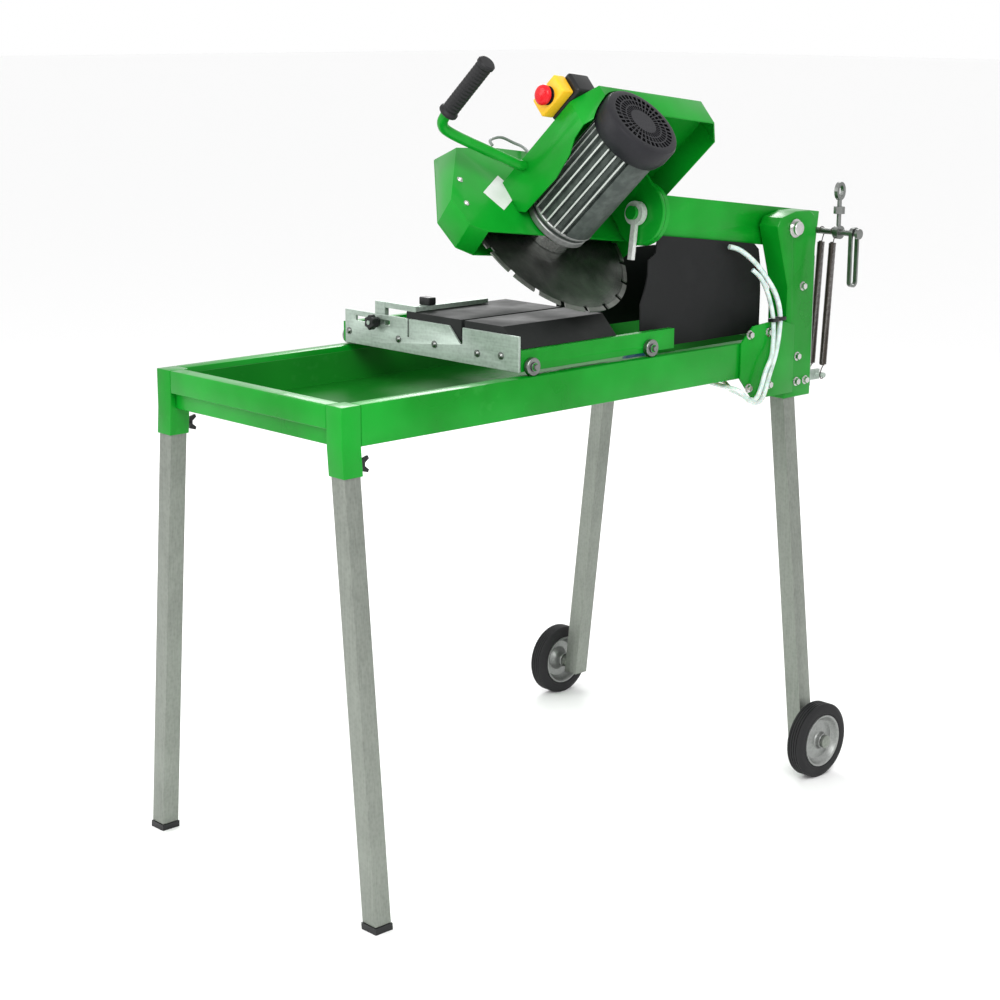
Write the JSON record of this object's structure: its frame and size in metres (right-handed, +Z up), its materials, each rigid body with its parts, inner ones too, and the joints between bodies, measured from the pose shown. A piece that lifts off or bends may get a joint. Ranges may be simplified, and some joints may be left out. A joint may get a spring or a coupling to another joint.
{
  "type": "tile cutter",
  "caption": "Wheeled stand tile cutter: tilting motor head with a guarded disc on a pivoting sprung beam, over a rolling table with fence and stop above a water tray.",
  "frame": {"origin": "on the floor, at the centre of the machine's outline in X and Y", "axes": "+Z up; +X from the operator's end (fence side) to the column's end, along the rails; +Y from the motor's side to the free side"},
  "size_m": [1.2706, 0.7839, 1.4169],
  "materials": {
    "green": "gloss paint",
    "zinc": "zinc plated",
    "leg_steel": "galvanised",
    "bright": "machined",
    "rubber": "matt",
    "tyre": "solid rubber",
    "black_plastic": "matt",
    "deck_black": "textured",
    "motor": "dark painted die casting",
    "blade": "dark steel",
    "yellow": "gloss",
    "red": "gloss",
    "hose": "translucent",
    "pump": "gloss",
    "rim": "pressed"
  },
  "bodies": {
    "stand": {"front_rail": "green", "rear_rail": "green", "near_rail": "green", "far_rail": "green", "front_near_post": "green", "front_far_post": "green", "rear_far_post": "green", "column": "green", "water_tray": "green", "water_pump": "pump", "front_near_leg": "leg_steel", "front_far_leg": "leg_steel", "rear_near_leg": "leg_steel", "rear_far_leg": "leg_steel", "front_near_foot": "black_plastic", "front_far_foot": "black_plastic", "spring_plate": "zinc", "pivot_bolt": "bright", "near_spring": "zinc", "far_spring": "zinc", "water_hose": "hose", "return_hose": "hose", "splash_curtain": "rubber"},
    "near_wheel": {"near_rim": "rim", "near_tyre": "tyre"},
    "far_wheel": {"far_rim": "rim", "far_tyre": "tyre"},
    "near_screw": {"front_near_screw": "bright"},
    "far_screw": {"front_far_screw": "bright"},
    "arm": {"beam": "green", "beam_flange": "green", "spring_crossbar": "bright"},
    "tilt_lever": {"bevel_lever": "bright"},
    "hook": {"snap_hook": "zinc"},
    "head": {"bevel_plate": "green", "hood": "green", "guard_shell": "green", "guard_cover": "green", "motor_body": "motor", "fan_cowl": "black_plastic", "switch_box": "black_plastic", "handle_tube": "green", "grip": "rubber"},
    "spindle_set": {"spindle": "bright", "blade": "blade", "blade_flange": "bright", "arbor_nut": "bright", "fan": "black_plastic"},
    "stop_flap": {"estop_flap": "yellow"},
    "stop_button": {"estop_button": "red"},
    "cart": {"cart_frame": "green", "deck": "deck_black", "fence": "zinc"},
    "roller_front_near": {"front_near_roller": "bright"},
    "roller_front_far": {"front_far_roller": "bright"},
    "roller_rear_near": {"rear_near_roller": "bright"},
    "roller_rear_far": {"rear_far_roller": "bright"},
    "stop": {"stop_bar": "zinc"},
    "stop_slide_block": {"stop_slider": "black_plastic"},
    "knob": {"stop_knob": "black_plastic"}
  },
  "joints": [
    {"name": "near_wheel_spin", "type": "hinge", "parent": "stand", "child": "near_wheel", "pos_m": [0.4922, -0.36203, 0.0755], "axis": [0, 1, 0], "continuous": true},
    {"name": "far_wheel_spin", "type": "hinge", "parent": "stand", "child": "far_wheel", "pos_m": [0.4917, 0.36193, 0.0755], "axis": [0, 1, 0], "continuous": true},
    {"name": "near_screw_turn", "type": "hinge", "parent": "stand", "child": "near_screw", "pos_m": [-0.5953, -0.24179, 0.776], "axis": [1, 0, 0], "continuous": true},
    {"name": "far_screw_turn", "type": "hinge", "parent": "stand", "child": "far_screw", "pos_m": [-0.5953, 0.23419, 0.776], "axis": [1, 0, 0], "continuous": true},
    {"name": "arm_pivot", "type": "hinge", "parent": "stand", "child": "arm", "pos_m": [0.4947, -0.1868, 1.0863], "axis": [0, 1, 0], "range_deg": [-4.8, 0], "stiffness_Nm_per_rad": 260, "springref_deg": 25.78, "deforming": ["near_spring", "far_spring", "splash_curtain", "water_hose", "return_hose"]},
    {"name": "head_bevel", "type": "hinge", "parent": "arm", "child": "head", "pos_m": [-0.01238, -0.1868, 1.14946], "axis": [0.9923, 0, -0.1236], "range_deg": [0, 45]},
    {"name": "tilt_lever_turn", "type": "hinge", "parent": "arm", "child": "tilt_lever", "pos_m": [0.12605, -0.1868, 1.13222], "axis": [0.9923, 0, -0.1236], "range_deg": [-45, 0]},
    {"name": "hook_swing", "type": "hinge", "parent": "arm", "child": "hook", "pos_m": [0.60783, -0.3148, 1.07221], "axis": [0, 1, 0], "range_deg": [-60, 60]},
    {"name": "spindle_spin", "type": "hinge", "parent": "head", "child": "spindle_set", "pos_m": [-0.02673, -0.17443, 1.16372], "axis": [-0.0874, 0.7071, -0.7017], "continuous": true},
    {"name": "stop_flap_swing", "type": "hinge", "parent": "head", "child": "stop_flap", "pos_m": [-0.09889, -0.08144, 1.26641], "axis": [-0.0874, 0.7071, -0.7017], "range_deg": [0, 80]},
    {"name": "stop_button_press", "type": "slide", "parent": "stop_flap", "child": "stop_button", "axis": [0.9923, 0, -0.1236], "range_m": [0, 0.005], "stiffness_N_per_m": 400, "springref_m": -0.0005},
    {"name": "cart_slide", "type": "slide", "parent": "stand", "child": "cart", "axis": [1, 0, 0], "range_m": [-0.36, 0.03]},
    {"name": "front_near_roller_spin", "type": "hinge", "parent": "cart", "child": "roller_front_near", "pos_m": [-0.2031, -0.2488, 0.8943], "axis": [0, 1, 0], "continuous": true},
    {"name": "front_far_roller_spin", "type": "hinge", "parent": "cart", "child": "roller_front_far", "pos_m": [-0.2031, 0.2412, 0.8943], "axis": [0, 1, 0], "continuous": true},
    {"name": "rear_near_roller_spin", "type": "hinge", "parent": "cart", "child": "roller_rear_near", "pos_m": [0.0999, -0.2488, 0.8943], "axis": [0, 1, 0], "continuous": true},
    {"name": "rear_far_roller_spin", "type": "hinge", "parent": "cart", "child": "roller_rear_far", "pos_m": [0.0999, 0.2412, 0.8943], "axis": [0, 1, 0], "continuous": true},
    {"name": "stop_bar_slide", "type": "slide", "parent": "cart", "child": "stop", "axis": [0, 1, 0], "range_m": [-0.018, 0.048]},
    {"name": "stop_block_slide", "type": "slide", "parent": "stop", "child": "stop_slide_block", "axis": [1, 0, 0], "range_m": [-0.02, 0.11]},
    {"name": "knob_turn", "type": "hinge", "parent": "stop", "child": "knob", "pos_m": [-0.2301, 0.1292, 0.934], "axis": [1, 0, 0], "continuous": true}
  ],
  "couplings": [
    {"joint": "front_near_roller_spin", "follows": "cart_slide", "rad_per_m": 62.5},
    {"joint": "front_far_roller_spin", "follows": "cart_slide", "rad_per_m": 62.5},
    {"joint": "rear_near_roller_spin", "follows": "cart_slide", "rad_per_m": 62.5},
    {"joint": "rear_far_roller_spin", "follows": "cart_slide", "rad_per_m": 62.5}
  ]
}
